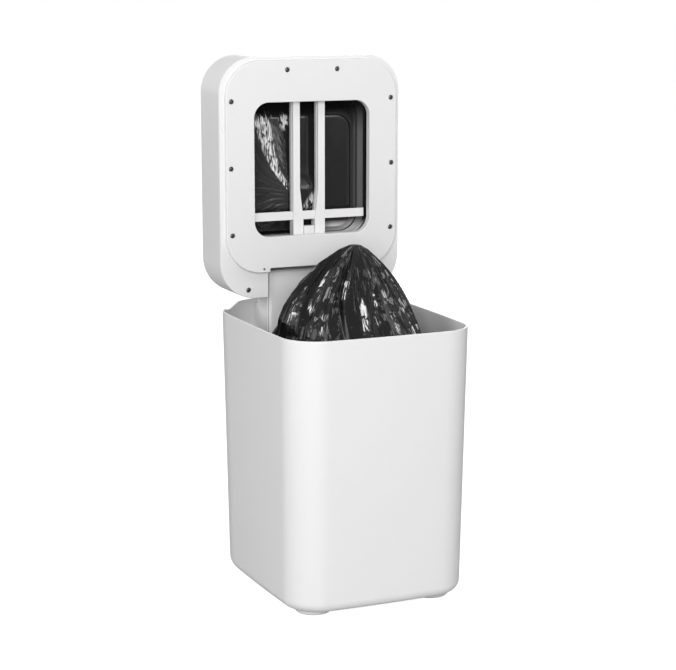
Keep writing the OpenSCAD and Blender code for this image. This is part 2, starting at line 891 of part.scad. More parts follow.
module film_sleeve() {
    color("#1b1b1d")
        hull() {
            slab(ring_y0 + 14, ring_y0 + 15)
                centred_outline(seat_hole_x - 0.3, seat_hole_z - 0.3, hole_r - 0.3);
            slab(seat_y0 + 6, seat_y0 + 7)
                rounded(-win_x + 11, win_x - 11, win_z0 + 8, win_z1 - 12, 20);
            slab(bar_y1 + 0.6, bar_y1 + 1.6)
                rounded(-14, 14, cross_z0 - 4, cross_z0 + 60, 6);
        }
}

// Waste lid

module waste_lid() {
    gap = 0.5;
    x = waste_w / 2 - gap;
    color("white")
        difference() {
            union() {
                slab(top_y - lid_t, top_y)
                    rounded(-x, x, lid_axis_z + 1, lid_z0 + waste_len - gap, 3.5);
                bar_along_x(-x, x, lid_axis_y, lid_axis_z, 2 * barrel_r);
            }
            bar_along_x(-x - 1, x + 1, lid_axis_y, lid_axis_z, lid_pin_d + run_fit);
        }
}

module lid_pin() {
    color("silver")
        bar_along_x(-waste_w / 2 - 6.5, waste_w / 2 + 6.5, lid_axis_y, lid_axis_z, lid_pin_d);
}

module lid_motor() {
    x0 = waste_w / 2 + 9;
    color("silver")
        difference() {
            bar_along_x(x0, x0 + 11, inner_y - 6.2, lid_axis_z, 12);
            bar_along_x(x0 - 1, x0 + 5, lid_axis_y, lid_axis_z, lid_pin_d + 0.04);
        }
}

// Controls and power, in the front end of the head

module seal_button() {
    color("lightgray")
        bar_along_y(button_x, panel_z, inner_y - 3, top_y + 0.8, button_d);
}

module button_switch() {
    color("black") {
        block([button_x - 3, board_y + 1.7, panel_z - 3], [button_x + 3, inner_y - 6, panel_z + 3]);
        bar_along_y(button_x, panel_z, inner_y - 7, inner_y - 4.3, 3);
    }
}

module control_board() {
    color("seagreen")
        block([board_x0, board_y, front_zone - 11], [board_x1, board_y + 1.6, front_zone + 7]);
}

module battery_pack() {
    color("steelblue")
        for (y = [rim_y + 40, rim_y + 54.3])
            bar_along_x(cell_x0, cell_x1, y, front_zone + 0.5, 14);
}

module sensor_lens() {
    color("black")
        slab(inner_y - 4, top_y + 0.3)
            rounded(-8.8, 8.8, panel_z - 3.8, panel_z + 3.8, 3.7);
}

module charge_socket() {
    color("black")
        difference() {
            block([socket_x - 4.8, socket_y - 3.8, tail_z + 0.4],
                [socket_x + 4.8, socket_y + 3.8, tail_z + 12]);
            bar_along_z(socket_x, socket_y, tail_z, tail_z + 9, 5.5);
        }
}

bin();
foot_front_left();
foot_front_right();
foot_back_left();
foot_back_right();
hinge_column();
column_screws();
hinge_pin_left();
hinge_pin_right();
filled_bag();
head_shell();
base_plate();
plate_screws();
hinge_bracket_left();
hinge_bracket_right();
hinge_damper_left();
hinge_damper_right();
side_bar_left();
side_bar_right();
cross_bar();
clamp_pad();
guide_rod_upper();
guide_rod_lower();
cross_rod();
drive_screw();
cross_motor();
gather_motor();
gather_pinion();
sealing_block();
heating_strip();
ring_seat();
refill_ring();
film_pack();
film_sleeve();
waste_lid();
lid_pin();
lid_motor();
seal_button();
button_switch();
control_board();
battery_pack();
sensor_lens();
charge_socket();
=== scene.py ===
# %% [markdown]
# # A litter disposal pail, dressed over its working parts
#
# The real pail is a white moulded bin with a hinged head. The head gathers a black
# film sleeve between two bars and welds it into a bag that stands in the bin. The
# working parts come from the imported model, and this file gives them their looks:
# eased edges, plastics with a little grain, and thin glossy film full of creases.

import math

import bmesh
import bpy
import numpy as np
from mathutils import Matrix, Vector


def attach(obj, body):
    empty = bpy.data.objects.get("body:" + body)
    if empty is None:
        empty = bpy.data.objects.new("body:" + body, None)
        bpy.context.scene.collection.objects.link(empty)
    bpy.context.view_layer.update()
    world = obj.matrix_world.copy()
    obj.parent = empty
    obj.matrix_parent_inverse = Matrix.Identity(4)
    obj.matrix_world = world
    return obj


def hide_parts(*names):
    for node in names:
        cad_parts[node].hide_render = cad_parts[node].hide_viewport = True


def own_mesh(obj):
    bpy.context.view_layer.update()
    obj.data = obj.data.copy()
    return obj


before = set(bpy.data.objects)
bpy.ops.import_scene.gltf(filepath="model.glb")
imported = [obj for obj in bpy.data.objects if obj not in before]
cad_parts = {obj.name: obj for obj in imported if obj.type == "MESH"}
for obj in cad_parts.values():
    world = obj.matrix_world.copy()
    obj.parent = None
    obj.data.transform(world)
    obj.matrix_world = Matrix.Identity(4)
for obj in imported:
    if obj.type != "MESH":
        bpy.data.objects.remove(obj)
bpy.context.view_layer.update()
MM = 0.001
print("working parts:", len(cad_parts))

# %% [markdown]
# ## The pail's main sizes
#
# All lengths are in millimetres, as a maker would write them. Names repeat those of
# the working parts: the rim of the bin, the hinge axis, the head's rim and its faces.

# %% Sizes
RIM_Z, BIN_X, BIN_Y, WALL = 332.2, 120.0, 157.7, 2.5
BASE_Z, FLOOR_R, FRONT_R, BACK_R, BULGE = 6.0, 13.0, 42.0, 100.0, 3.4
HINGE_Y, HINGE_Z, RISE = 113.4, 370.9, 38.4
TAIL_Z, END_Z, HEAD_R, TOP_R = 345.8, 642.0, 45.0, 16.0
HEAD_RIM_Y, FACE_Y, TOP_Y, INNER_Y = 75.0, 68.0, 152.0, 149.5
PLATE_X, PLATE_Z0, PLATE_Z1, PLATE_T = 113.8, 378.1, 637.5, 2.5
WIN_X, WIN_Z0, WIN_Z1, WIN_R = 77.1, 421.8, 586.7, 19.0
NOTCH_X, NOTCH_Z, COLLAR_Y = 57.6, 383.2, 78.0
MID_Z = (WIN_Z0 + WIN_Z1) / 2
PLATE_HOLES = [
    (s * x, z)
    for s in (-1, 1)
    for x, z in ((106.4, 588.8), (107.4, 507.55), (106.4, 425.9), (33.1, 625.7))
]
TAIL_HOLES = [(s * 83.4, 356.2) for s in (-1, 1)]
PIN_HOLE, PIN_HOLE_R = (-65.1, 382.1), 1.4

# %% [markdown]
# ## Helpers for meshes
#
# A moulding is mostly one outline that changes along a path, so most pieces here are
# lofts: rings of points joined by quads. A boolean then cuts what breaks the rule,
# and a bevel eases the edges that the cut left sharp, as a mould's edges are.


# %% Mesh helpers
def mesh_object(name, points, faces):
    mesh = bpy.data.meshes.new(name)
    mesh.from_pydata([tuple(c * MM for c in p) for p in points], [], faces)
    mesh.validate()
    obj = bpy.data.objects.new(name, mesh)
    bpy.context.collection.objects.link(obj)
    return obj


def outward(obj):
    bm = bmesh.new()
    bm.from_mesh(obj.data)
    bmesh.ops.remove_doubles(bm, verts=bm.verts, dist=1e-7)
    bmesh.ops.recalc_face_normals(bm, faces=bm.faces)
    bm.to_mesh(obj.data)
    bm.free()
    return obj


def ring_quads(n, m, loop=False):
    """Quads between n rings of m points each. loop also joins the last to the first."""
    faces = []
    for i in range(n if loop else n - 1):
        a, b = i * m, ((i + 1) % n) * m
        faces += [(a + j, a + (j + 1) % m, b + (j + 1) % m, b + j) for j in range(m)]
    return faces


def loft(name, rings, loop=False):
    """Rings of equal length joined by quads. Its ends are closed, or joined by loop."""
    n, m = len(rings), len(rings[0])
    points = [p for ring in rings for p in ring]
    faces = ring_quads(n, m, loop)
    if not loop:
        faces += [tuple(range(m)), tuple(range((n - 1) * m, n * m))]
    return outward(mesh_object(name, points, faces))


def turned(profile, n=40):
    """Rings of a profile of (radius, height) turned about Z."""
    return [
        [(r * math.cos(t), r * math.sin(t), z) for t in np.arange(n) * math.tau / n]
        for r, z in profile
    ]


def lathe(name, profile, n=40):
    return loft(name, turned(profile, n))


def quarter(r, t):
    """How far a quarter round of radius r stands off its two faces at angle t."""
    return r * (1 - math.cos(t)), r * (1 - math.sin(t))


def box_piece(name, low, high):
    x0, y0, z0 = low
    x1, y1, z1 = high
    rings = [[(x0, y0, z), (x1, y0, z), (x1, y1, z), (x0, y1, z)] for z in (z0, z1)]
    return loft(name, rings)


def rounded(x0, x1, z0, z1, r, n=14):
    """Outline of a rounded rectangle as (x, z) points."""
    points = []
    for cx, cz, start in (
        (x1 - r, z0 + r, -90),
        (x1 - r, z1 - r, 0),
        (x0 + r, z1 - r, 90),
        (x0 + r, z0 + r, 180),
    ):
        for i in range(n + 1):
            t = math.radians(start + 90 * i / n)
            points.append((cx + r * math.cos(t), cz + r * math.sin(t)))
    return points


def at_depth(outline, y):
    return [(x, y, z) for x, z in outline]


def bake(obj):
    """The evaluated object becomes its own plain mesh, without modifiers."""
    graph = bpy.context.evaluated_depsgraph_get()
    mesh = bpy.data.meshes.new_from_object(obj.evaluated_get(graph), depsgraph=graph)
    obj.modifiers.clear()
    obj.data = mesh
    return obj


def join(obj, *others):
    """Puts the others' meshes into obj's mesh, and removes them."""
    bm = bmesh.new()
    bm.from_mesh(obj.data)
    for other in others:
        bm.from_mesh(other.data)
        bpy.data.objects.remove(other)
    bm.to_mesh(obj.data)
    bm.free()


def carve(obj, *cutters):
    """Cuts each cutter out of obj in turn, and removes it."""
    for cutter in cutters:
        cut = obj.modifiers.new("Cut", "BOOLEAN")
        cut.object, cut.operation, cut.solver = cutter, "DIFFERENCE", "EXACT"
        bake(obj)
        bpy.data.objects.remove(cutter)


def ease(obj, width, segments=2, angle=38):
    """Rounds the sharp edges, then shades all but true creases smooth."""
    if width:
        bevel = obj.modifiers.new("Edges", "BEVEL")
        bevel.width, bevel.segments = width * MM, segments
        bevel.limit_method, bevel.angle_limit = "ANGLE", math.radians(angle)
        bevel.use_clamp_overlap = False
        bake(obj)
    obj.data.shade_smooth()
    obj.data.set_sharp_from_angle(angle=math.radians(angle))
    weighted = obj.modifiers.new("Normals", "WEIGHTED_NORMAL")
    weighted.keep_sharp = True
    return bake(obj)


def copied(node):
    """A merged copy of a working part's mesh, without the seams of its triangles."""
    obj = bpy.data.objects.new(node + "_eased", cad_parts[node].data.copy())
    bpy.context.collection.objects.link(obj)
    obj.data.materials.clear()
    bm = bmesh.new()
    bm.from_mesh(obj.data)
    bmesh.ops.remove_doubles(bm, verts=bm.verts, dist=2e-6)
    bmesh.ops.dissolve_limit(
        bm, angle_limit=math.radians(0.5), verts=bm.verts, edges=bm.edges
    )
    bm.to_mesh(obj.data)
    bm.free()
    return obj


# %% [markdown]
# ## Helpers for finishes
#
# Moulded plastic is never one flat value. Its gloss wanders slightly and a fine grain
# from the mould catches the light. Several plastics share that effect, so it is one
# node group with named inputs, and each material sets its own values.


# %% Node helpers
def feed(tree, slot, value):
    """Links the slot to another socket, or sets it to a plain value."""
    if isinstance(value, bpy.types.NodeSocket):
        tree.links.new(value, slot)
    else:
        slot.default_value = value


def maths(tree, operation, *values):
    node = tree.nodes.new("ShaderNodeMath")
    node.operation = operation
    for slot, value in zip(node.inputs, values):
        feed(tree, slot, value)
    return node.outputs[0]


def ramp(tree, value, low, high, to_low=0.0, to_high=1.0):
    """Maps low..high to to_low..to_high, clamped at both ends."""
    node = tree.nodes.new("ShaderNodeMapRange")
    node.inputs["From Min"].default_value = low
    node.inputs["From Max"].default_value = high
    node.inputs["To Min"].default_value = to_low
    node.inputs["To Max"].default_value = to_high
    tree.links.new(value, node.inputs["Value"])
    return node.outputs["Result"]


def noise(tree, place, scale, detail=2, distortion=0.0, kind="FBM"):
    node = tree.nodes.new("ShaderNodeTexNoise")
    node.noise_type = kind
    node.inputs["Detail"].default_value = detail
    node.inputs["Distortion"].default_value = distortion
    feed(tree, node.inputs["Scale"], scale)
    tree.links.new(place, node.inputs["Vector"])
    return node.outputs["Fac"]


def scaled(tree, place, scale):
    node = tree.nodes.new("ShaderNodeMapping")
    node.inputs["Scale"].default_value = (*scale, 1)
    tree.links.new(place, node.inputs["Vector"])
    return node.outputs["Vector"]


def blended(tree, share, first, second):
    """Mixes two colours by share."""
    node = tree.nodes.new("ShaderNodeMix")
    node.data_type = "RGBA"
    slots = [s for s in node.inputs if s.type == "RGBA"]
    feed(tree, slots[0], first)
    feed(tree, slots[1], second)
    tree.links.new(share, node.inputs["Factor"])
    return [s for s in node.outputs if s.type == "RGBA"][0]


def bumped(tree, height, strength, distance):
    node = tree.nodes.new("ShaderNodeBump")
    node.inputs["Strength"].default_value = strength
    node.inputs["Distance"].default_value = distance
    tree.links.new(height, node.inputs["Height"])
    return node.outputs["Normal"]


def object_place(tree):
    return tree.nodes.new("ShaderNodeTexCoord").outputs["Object"]


# %% Shared grain group
def grain_group():
    tree = bpy.data.node_groups.new("Moulded_Grain", "ShaderNodeTree")
    face = tree.interface
    for label, kind, value in (
        ("Colour", "NodeSocketColor", (0.8, 0.8, 0.8, 1)),
        ("Mottle", "NodeSocketFloat", 0.02),
        ("Roughness", "NodeSocketFloat", 0.4),
        ("Roughness Spread", "NodeSocketFloat", 0.06),
        ("Grain Scale", "NodeSocketFloat", 900.0),
    ):
        face.new_socket(label, in_out="INPUT", socket_type=kind).default_value = value
    for label, kind in (
        ("Colour", "NodeSocketColor"),
        ("Roughness", "NodeSocketFloat"),
        ("Height", "NodeSocketFloat"),
    ):
        face.new_socket(label, in_out="OUTPUT", socket_type=kind)
    nodes, links = tree.nodes, tree.links
    start, end = nodes.new("NodeGroupInput"), nodes.new("NodeGroupOutput")
    given = start.outputs
    place = object_place(tree)
    swing = maths(tree, "SUBTRACT", noise(tree, place, 9, 3), 0.5)
    rough = maths(
        tree, "MULTIPLY_ADD", swing, given["Roughness Spread"], given["Roughness"]
    )
    shade = maths(tree, "MULTIPLY_ADD", swing, given["Mottle"], 1.0)
    tint = nodes.new("ShaderNodeVectorMath")
    tint.operation = "SCALE"
    links.new(given["Colour"], tint.inputs[0])
    links.new(shade, tint.inputs["Scale"])
    links.new(tint.outputs[0], end.inputs["Colour"])
    links.new(rough, end.inputs["Roughness"])
    links.new(noise(tree, place, given["Grain Scale"]), end.inputs["Height"])
    return tree


GRAIN = grain_group()
GLOSS_SPREAD, GRAIN_HEIGHT = 0.06, 0.0002


def moulded(name, colour, rough, mottle=0.02, grain=900, depth=0.02, metal=0):
    """A plastic, rubber or metal finish built on the shared grain."""
    mat = bpy.data.materials.new(name)
    mat.use_nodes = True
    tree = mat.node_tree
    skin = tree.nodes["Principled BSDF"]
    skin.inputs["Metallic"].default_value = metal
    group = tree.nodes.new("ShaderNodeGroup")
    group.node_tree = GRAIN
    group.inputs["Colour"].default_value = (*colour, 1)
    group.inputs["Mottle"].default_value = mottle
    group.inputs["Roughness"].default_value = rough
    group.inputs["Roughness Spread"].default_value = GLOSS_SPREAD
    group.inputs["Grain Scale"].default_value = grain
    normal = bumped(tree, group.outputs["Height"], depth, GRAIN_HEIGHT)
    tree.links.new(group.outputs["Colour"], skin.inputs["Base Color"])
    tree.links.new(group.outputs["Roughness"], skin.inputs["Roughness"])
    tree.links.new(normal, skin.inputs["Normal"])
    mat.diffuse_color = (*colour, 1)
    return mat


# %% The plain finishes
# Each finish's colour, its roughness and whatever else sets it apart.
MOULDED = {
    "bin_white": ((0.80, 0.795, 0.80), 0.33, dict(depth=0.04)),
    "head_white": ((0.79, 0.785, 0.79), 0.33, dict(depth=0.04)),
    "plate_white": ((0.78, 0.775, 0.78), 0.46, dict(depth=0.12, grain=1500)),
    # The column's white is painted lighter than the same plastic elsewhere: painted
    # light against the shade it stands in.
    "column_white": ((0.92, 0.915, 0.92), 0.46, dict(depth=0.12, grain=1500)),
    "bar_white": ((0.82, 0.815, 0.82), 0.38, dict(depth=0.05)),
    "foot_white": ((0.74, 0.735, 0.74), 0.62, dict(depth=0.2, grain=700)),
    "inner_plastic": ((0.66, 0.66, 0.67), 0.5, dict(depth=0.15)),
    "seat_grey": ((0.3, 0.3, 0.305), 0.45, dict(depth=0.15, mottle=0.1)),
    "block_white": ((0.74, 0.735, 0.74), 0.42, dict(depth=0.1)),
    "black_plastic": ((0.03, 0.03, 0.033), 0.45, dict(depth=0.2)),
    "pad_black": ((0.02, 0.02, 0.02), 0.6, dict(depth=0.2)),
    "screw_dark": ((0.10, 0.10, 0.105), 0.35, dict(metal=1, mottle=0.2)),
    "steel": ((0.56, 0.56, 0.58), 0.28, dict(metal=1, mottle=0.1)),
    "motor_can": ((0.6, 0.6, 0.61), 0.2, dict(metal=1, mottle=0.05)),
    "heater": ((0.36, 0.34, 0.32), 0.4, dict(metal=1, mottle=0.2)),
    "ring_dark": ((0.035, 0.037, 0.042), 0.4, dict(depth=0.15)),
    "button_grey": ((0.5, 0.5, 0.52), 0.3, dict()),
    "board_green": ((0.02, 0.14, 0.06), 0.35, dict(mottle=0.3, grain=300)),
    "cell_blue": ((0.04, 0.12, 0.32), 0.25, dict(mottle=0.1)),
    "lens_black": ((0.012, 0.012, 0.016), 0.08, dict(depth=0.0)),
}
FINISH = {
    name: moulded(name, colour, rough, **other)
    for name, (colour, rough, other) in MOULDED.items()
}


def paint_light_and_shade_by_place(mat, *painted_tones):
    """Paints light and shade into the colour over ranges of place: ((axis, from, to),
    ..., colour) each.

    The axes are X, Y and Z, and W for the distance from the middle along X, in metres.
    """
    tree = mat.node_tree
    skin = tree.nodes["Principled BSDF"]
    split = tree.nodes.new("ShaderNodeSeparateXYZ")
    tree.links.new(object_place(tree), split.inputs[0])
    axes = {key: split.outputs[key] for key in "XYZ"}
    axes["W"] = maths(tree, "ABSOLUTE", split.outputs["X"])
    tone = skin.inputs["Base Color"].links[0].from_socket
    for *ranges, colour in painted_tones:
        shares = [ramp(tree, axes[axis], low, high) for axis, low, high in ranges]
        share = shares[0]
        for other in shares[1:]:
            share = maths(tree, "MULTIPLY", share, other)
        tone = blended(tree, share, tone, (*colour, 1))
    tree.links.new(tone, skin.inputs["Base Color"])


# In the window the ring's seat gets painted shade on its outside, its front edge and
# its upper part, and painted light on its sill.
paint_light_and_shade_by_place(
    FINISH["seat_grey"],
    (("W", 0.0811, 0.0812), (0.012, 0.012, 0.013)),
    (("Y", 0.0978, 0.0968), (0.012, 0.012, 0.013)),
    (("Z", 0.434, 0.424), (0.85, 0.85, 0.85)),
    (("Z", 0.545, 0.580), (0.02, 0.02, 0.021)),
)
print("finishes:", len(FINISH))


# %% [markdown]
# ## Black film
#
# Thin polyethylene film is almost black, and most of what the eye reads is gloss: long
# soft folds, and hundreds of short sharp creases that flash. The long folds are in the
# meshes. The short creases are stretched noise laid along each piece's own UV map, so
# that they run with the folds. Along the most strained creases the film is painted pale
# in thin broken lines, partly stress whitening and partly painted highlights, and a
# painted sheen lifts the black under the creases. A mask on each mesh says where these
# show.


# %% Film finish
# Colour of the pale lines: partly stress whitening, partly painted highlights.
PALE_STRAIN_AND_GLINT = (0.8, 0.8, 0.81, 1)
CREASE_HEIGHT = 0.002


def film_finish(
    name, crease, stretch, shine, rough, black, line, streak, gaps, painted_sheen=0.0
):
    """Glossy black film, creased and lined with pale where its crease mask says so.

    stretch and streak are the UV scales of the creases and of the pale lines, which are
    partly stress whitening and partly painted highlights. line is a line's width, gaps
    says how much of it is left out, and painted_sheen how far a painted sheen lifts the
    black under the creases.
    """
    mat = bpy.data.materials.new(name)
    mat.use_nodes = True
    tree = mat.node_tree
    nodes, links = tree.nodes, tree.links
    skin = nodes["Principled BSDF"]
    skin.inputs["Specular IOR Level"].default_value = shine
    uv = nodes.new("ShaderNodeUVMap")
    uv.uv_map = "Film"
    mask = nodes.new("ShaderNodeAttribute")
    mask.attribute_name = "crease"
    mask = mask.outputs["Fac"]
    spread = scaled(tree, uv.outputs["UV"], stretch)
    thread = scaled(tree, uv.outputs["UV"], streak)
    # The pale lines, partly stress whitening and partly painted highlights: a thin
    # contour of one noise, broken by another.
    scribble = maths(tree, "SUBTRACT", noise(tree, thread, 1.0, 2, 0.12), 0.5)
    thin = ramp(tree, maths(tree, "ABSOLUTE", scribble), line, line * 0.3)
    broken = ramp(tree, noise(tree, spread, 0.55, 3), gaps - 0.02, gaps + 0.02)
    flecks = maths(tree, "MULTIPLY", thin, broken)
    white = maths(tree, "MULTIPLY", flecks, ramp(tree, mask, 0.25, 0.55))
    # Painted sheen: the black is lifted towards grey under the creases.
    black_with_sheen = ramp(tree, mask, 0.18, 0.5, black, black + painted_sheen)
    links.new(blended(tree, white, black_with_sheen, PALE_STRAIN_AND_GLINT), skin.inputs["Base Color"])
    # The creases' relief.
    creases = noise(tree, spread, 1.0, 5, 0.7, "RIDGED_MULTIFRACTAL")
    height = maths(tree, "MULTIPLY", creases, mask)
    links.new(bumped(tree, height, crease, CREASE_HEIGHT), skin.inputs["Normal"])
    wander = noise(tree, object_place(tree), 35)
    gloss = ramp(tree, wander, 0, 1, rough * 0.7, rough * 1.5)
    links.new(gloss, skin.inputs["Roughness"])
    mat.diffuse_color = (black, black, black, 1)
    return mat


# The bag's film also has a painted sheen under its creases.
FINISH["film_bag"] = film_finish(
    "film_bag",
    crease=1.0,
    stretch=(64, 18),
    shine=0.18,
    rough=0.12,
    black=0.003,
    line=0.065,
    streak=(110, 4.5),
    gaps=0.525,
    painted_sheen=0.014,
)
FINISH["film_sleeve"] = film_finish(
    "film_sleeve",
    crease=0.8,
    stretch=(52, 22),
    shine=0.5,
    rough=0.14,
    black=0.014,
    line=0.12,
    streak=(80, 7),
    gaps=0.45,
)
# Painted light makes the sleeve paler at the right of the ring and over its sill, and
# painted shade makes it darker above.
paint_light_and_shade_by_place(
    FINISH["film_sleeve"],
    (("Y", 0.1027, 0.1045), ("X", 0.02, 0.03), (0.11, 0.11, 0.112)),
    (("Z", 0.434, 0.427), ("X", 0.02, 0.04), (0.6, 0.6, 0.6)),
    (("Y", 0.1027, 0.1045), ("Z", 0.545, 0.575), (0.012, 0.012, 0.013)),
)


def dress(obj, finish, body, *nodes):
    """Gives a finished piece its material, its body, and the nodes it stands for."""
    obj.data.materials.clear()
    obj.data.materials.append(FINISH[finish])
    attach(obj, body)
    if nodes:
        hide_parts(*nodes)
    print(obj.name, len(obj.data.polygons), "faces on", body)
    return obj


# %% [markdown]
# ## Parts that repeat
#
# Screws, their recesses and the feet are each one small turned part, set many times.
# One Geometry Nodes tree sets a part on points, turns it to face a way, spins each
# copy by a seeded random angle as a fitter leaves them, and realizes the copies.


# %% Tree that sets a part on points
def set_tree():
    tree = bpy.data.node_groups.new("Set_On_Points", "GeometryNodeTree")
    face = tree.interface
    face.new_socket("Geometry", in_out="INPUT", socket_type="NodeSocketGeometry")
    for label, kind in (
        ("Part", "NodeSocketObject"),
        ("Facing", "NodeSocketVector"),
        ("Spin", "NodeSocketFloat"),
        ("Seed", "NodeSocketInt"),
        ("Finish", "NodeSocketMaterial"),
    ):
        face.new_socket(label, in_out="INPUT", socket_type=kind)
    face.new_socket("Geometry", in_out="OUTPUT", socket_type="NodeSocketGeometry")
    nodes, links = tree.nodes, tree.links
    start, end = nodes.new("NodeGroupInput"), nodes.new("NodeGroupOutput")
    part = nodes.new("GeometryNodeObjectInfo")
    part.inputs["As Instance"].default_value = True
    put = nodes.new("GeometryNodeInstanceOnPoints")
    spin = nodes.new("FunctionNodeRandomValue")
    spin.data_type = "FLOAT"
    about = nodes.new("ShaderNodeCombineXYZ")
    turn = nodes.new("GeometryNodeRotateInstances")
    turn.inputs["Local Space"].default_value = True
    real = nodes.new("GeometryNodeRealizeInstances")
    paint = nodes.new("GeometryNodeSetMaterial")
    links.new(start.outputs["Part"], part.inputs["Object"])
    links.new(start.outputs["Geometry"], put.inputs["Points"])
    links.new(part.outputs["Geometry"], put.inputs["Instance"])
    links.new(start.outputs["Facing"], put.inputs["Rotation"])
    float_out = [s for s in spin.outputs if s.type == "VALUE"][0]
    float_max = [s for s in spin.inputs if s.name == "Max" and s.type == "VALUE"][0]
    links.new(start.outputs["Spin"], float_max)
    links.new(start.outputs["Seed"], spin.inputs["Seed"])
    links.new(float_out, about.inputs["Z"])
    links.new(put.outputs["Instances"], turn.inputs["Instances"])
    links.new(about.outputs["Vector"], turn.inputs["Rotation"])
    links.new(turn.outputs["Instances"], real.inputs["Geometry"])
    links.new(real.outputs["Geometry"], paint.inputs["Geometry"])
    links.new(start.outputs["Finish"], paint.inputs["Material"])
    links.new(paint.outputs["Geometry"], end.inputs["Geometry"])
    return tree


SET_TREE = set_tree()
FACING_FRONT, FACING_UP = (math.pi / 2, 0, 0), (0, 0, 0)


def set_parts(name, part, places, facing, finish, spin=math.tau, seed=4):
    """Copies of part at places (in mm), as one plain mesh."""
    obj = mesh_object(name, places, [])
    setter = obj.modifiers.new("Set", "NODES")
    setter.node_group = SET_TREE
    values = {
        "Part": part,
        "Facing": facing,
        "Spin": spin,
        "Seed": seed,
        "Finish": FINISH[finish],
    }
    for item in SET_TREE.interface.items_tree:
        if item.in_out == "INPUT" and item.name in values:
            setter[item.identifier] = values[item.name]
    bake(obj)
    bpy.data.objects.remove(part)
    print(name, "set", len(places), "times")
    return obj


# %% [markdown]
# ## The bin
#
# The bin is a tall tapering box whose sides bulge a little, with tighter corners at
# the front than at the back. A loft of one plan, drawn in by the draft at each height,
# gives it cleanly, with the rounded floor edge and a small radius on both rim edges.
# Near the hinge the rim dips, so that the head's swinging corners clear it.


# %% Bin plan
DIP_X0, DIP_X1, HEAD_CORNER_X, CLEARANCE = 49, 119, 76, 0.75
ONSET_X, ONSET_Y, ONSET_RUN, ONSET_DEEP = 80, 62, 42, 2.6


def arc(cx, cy, r, start, n):
    return [
        (cx + r * math.cos(math.radians(t)), cy + r * math.sin(math.radians(t)))
        for t in np.linspace(start, start + 90, n + 1)
    ]


def straight(p, q, n):
    return [
        (p[0] + (q[0] - p[0]) * i / n, p[1] + (q[1] - p[1]) * i / n)
        for i in range(1, n)
    ]


def bin_plan(a, b, rf, rb):
    points = arc(a - rf, rf - b, rf, -90, 14)
    points += straight((a, rf - b), (a, b - rb), 12) + arc(a - rb, b - rb, rb, 0, 30)
    points += straight((a - rb, b), (rb - a, b), 6) + arc(rb - a, b - rb, rb, 90, 30)
    points += straight((-a, b - rb), (-a, rf - b), 12)
    points += arc(rf - a, rf - b, rf, 180, 14)
    points += straight((rf - a, -b), (a - rf, -b), 14)
    return [
        (x * (1 - BULGE / a * (y / b) ** 2), y * (1 - BULGE / b * (x / a) ** 2))
        for x, y in points
    ]


def rim_dip(x, y):
    """How far the rim is cut down, to clear the head's corner as it swings."""
    x = abs(x)
    if not DIP_X0 < x < DIP_X1:
        return 0
    t = math.asin(min(max((x - HEAD_CORNER_X) / HEAD_R, 0), 1))
    drop = HINGE_Z - TAIL_Z - HEAD_R * (1 - math.cos(t))
    reach = math.hypot(drop, RISE) + CLEARANCE
    left = reach**2 - (y - HINGE_Y) ** 2
    swept = RIM_Z - (HINGE_Z - math.sqrt(left)) if left > 0 else 0
    run = min(max((y - ONSET_Y) / ONSET_RUN, 0), 1)
    onset = 0
    if y < ONSET_Y + ONSET_RUN and x > ONSET_X:
        onset = ONSET_DEEP * run * run * (3 - 2 * run)
    return max(0, swept, onset)


DRAFT_X, DRAFT_Y = 3.9, 7.7


def bin_ring(z, inset, dips=0.0):
    """The bin's plan at height z, drawn in by inset, with the rim's dips if asked."""
    share = (RIM_Z - z) / (RIM_Z - BASE_Z)
    plan = bin_plan(
        BIN_X - DRAFT_X * share - inset,
        BIN_Y - DRAFT_Y * share - inset,
        max(FRONT_R - inset, 6),
        BACK_R - inset,
    )
    return [(x, y, z - dips * rim_dip(x, y)) for x, y in plan]


# %% Bin body
FLOOR_T, RIM_EDGE = 3, 0.9
WALL_LEVELS = np.linspace(40, RIM_Z - 14, 7)
RIM_LEVELS = (RIM_Z - 8, RIM_Z - 2.5)


def bin_rings():
    """From the floor's underside up the outside, over the rim and down the inside."""
    steps = np.radians(np.linspace(0, 90, 11))
    rim_steps = np.radians((0, 30, 60, 90))
    rings = []
    for t in steps:
        up, inward = quarter(FLOOR_R, t)
        rings.append(bin_ring(BASE_Z + up, inward))
    rings += [bin_ring(z, 0) for z in WALL_LEVELS]
    rings += [bin_ring(z, 0, 1.0) for z in RIM_LEVELS]
    for t in rim_steps:
        inward, down = quarter(RIM_EDGE, t)
        rings.append(bin_ring(RIM_Z - down, inward, 1.0))
    for t in rim_steps[::-1]:
        outward_by, down = quarter(RIM_EDGE, t)
        rings.append(bin_ring(RIM_Z - down, WALL - outward_by, 1.0))
    rings += [bin_ring(z, WALL, 1.0) for z in RIM_LEVELS[::-1]]
    rings += [bin_ring(z, WALL) for z in WALL_LEVELS[::-1]]
    for t in steps[::-1]:
        up, inward = quarter(FLOOR_R - WALL, t)
        rings.append(bin_ring(BASE_Z + FLOOR_T + up, WALL + inward))
    return rings


pail = loft("bin_shell", bin_rings())
ease(pail, 0, angle=50)
dress(pail, "bin_white", "bin", "bin")

# %% Feet
foot = lathe(
    "foot",
    [(18.6, 0), (20.0, 0.35), (20.6, 1.2), (21.5, 1.7), (21.5, 6), (17, 6)],
    56,
)
ease(foot, 0, angle=50)
FOOT_PLACES = [(s * 77, y, 0) for s in (-1, 1) for y in (-110, 76)]
feet = set_parts("feet_set", foot, FOOT_PLACES, FACING_UP, "foot_white")
dress(
    feet,
    "foot_white",
    "bin",
    "foot_front_left",
    "foot_front_right",
    "foot_back_left",
    "foot_back_right",
)

# %% [markdown]
# ## The hinge column
#
# A moulded post inside the bin's back wall carries the head. Its working part has the
# right form already, so a merged copy with eased edges is enough.

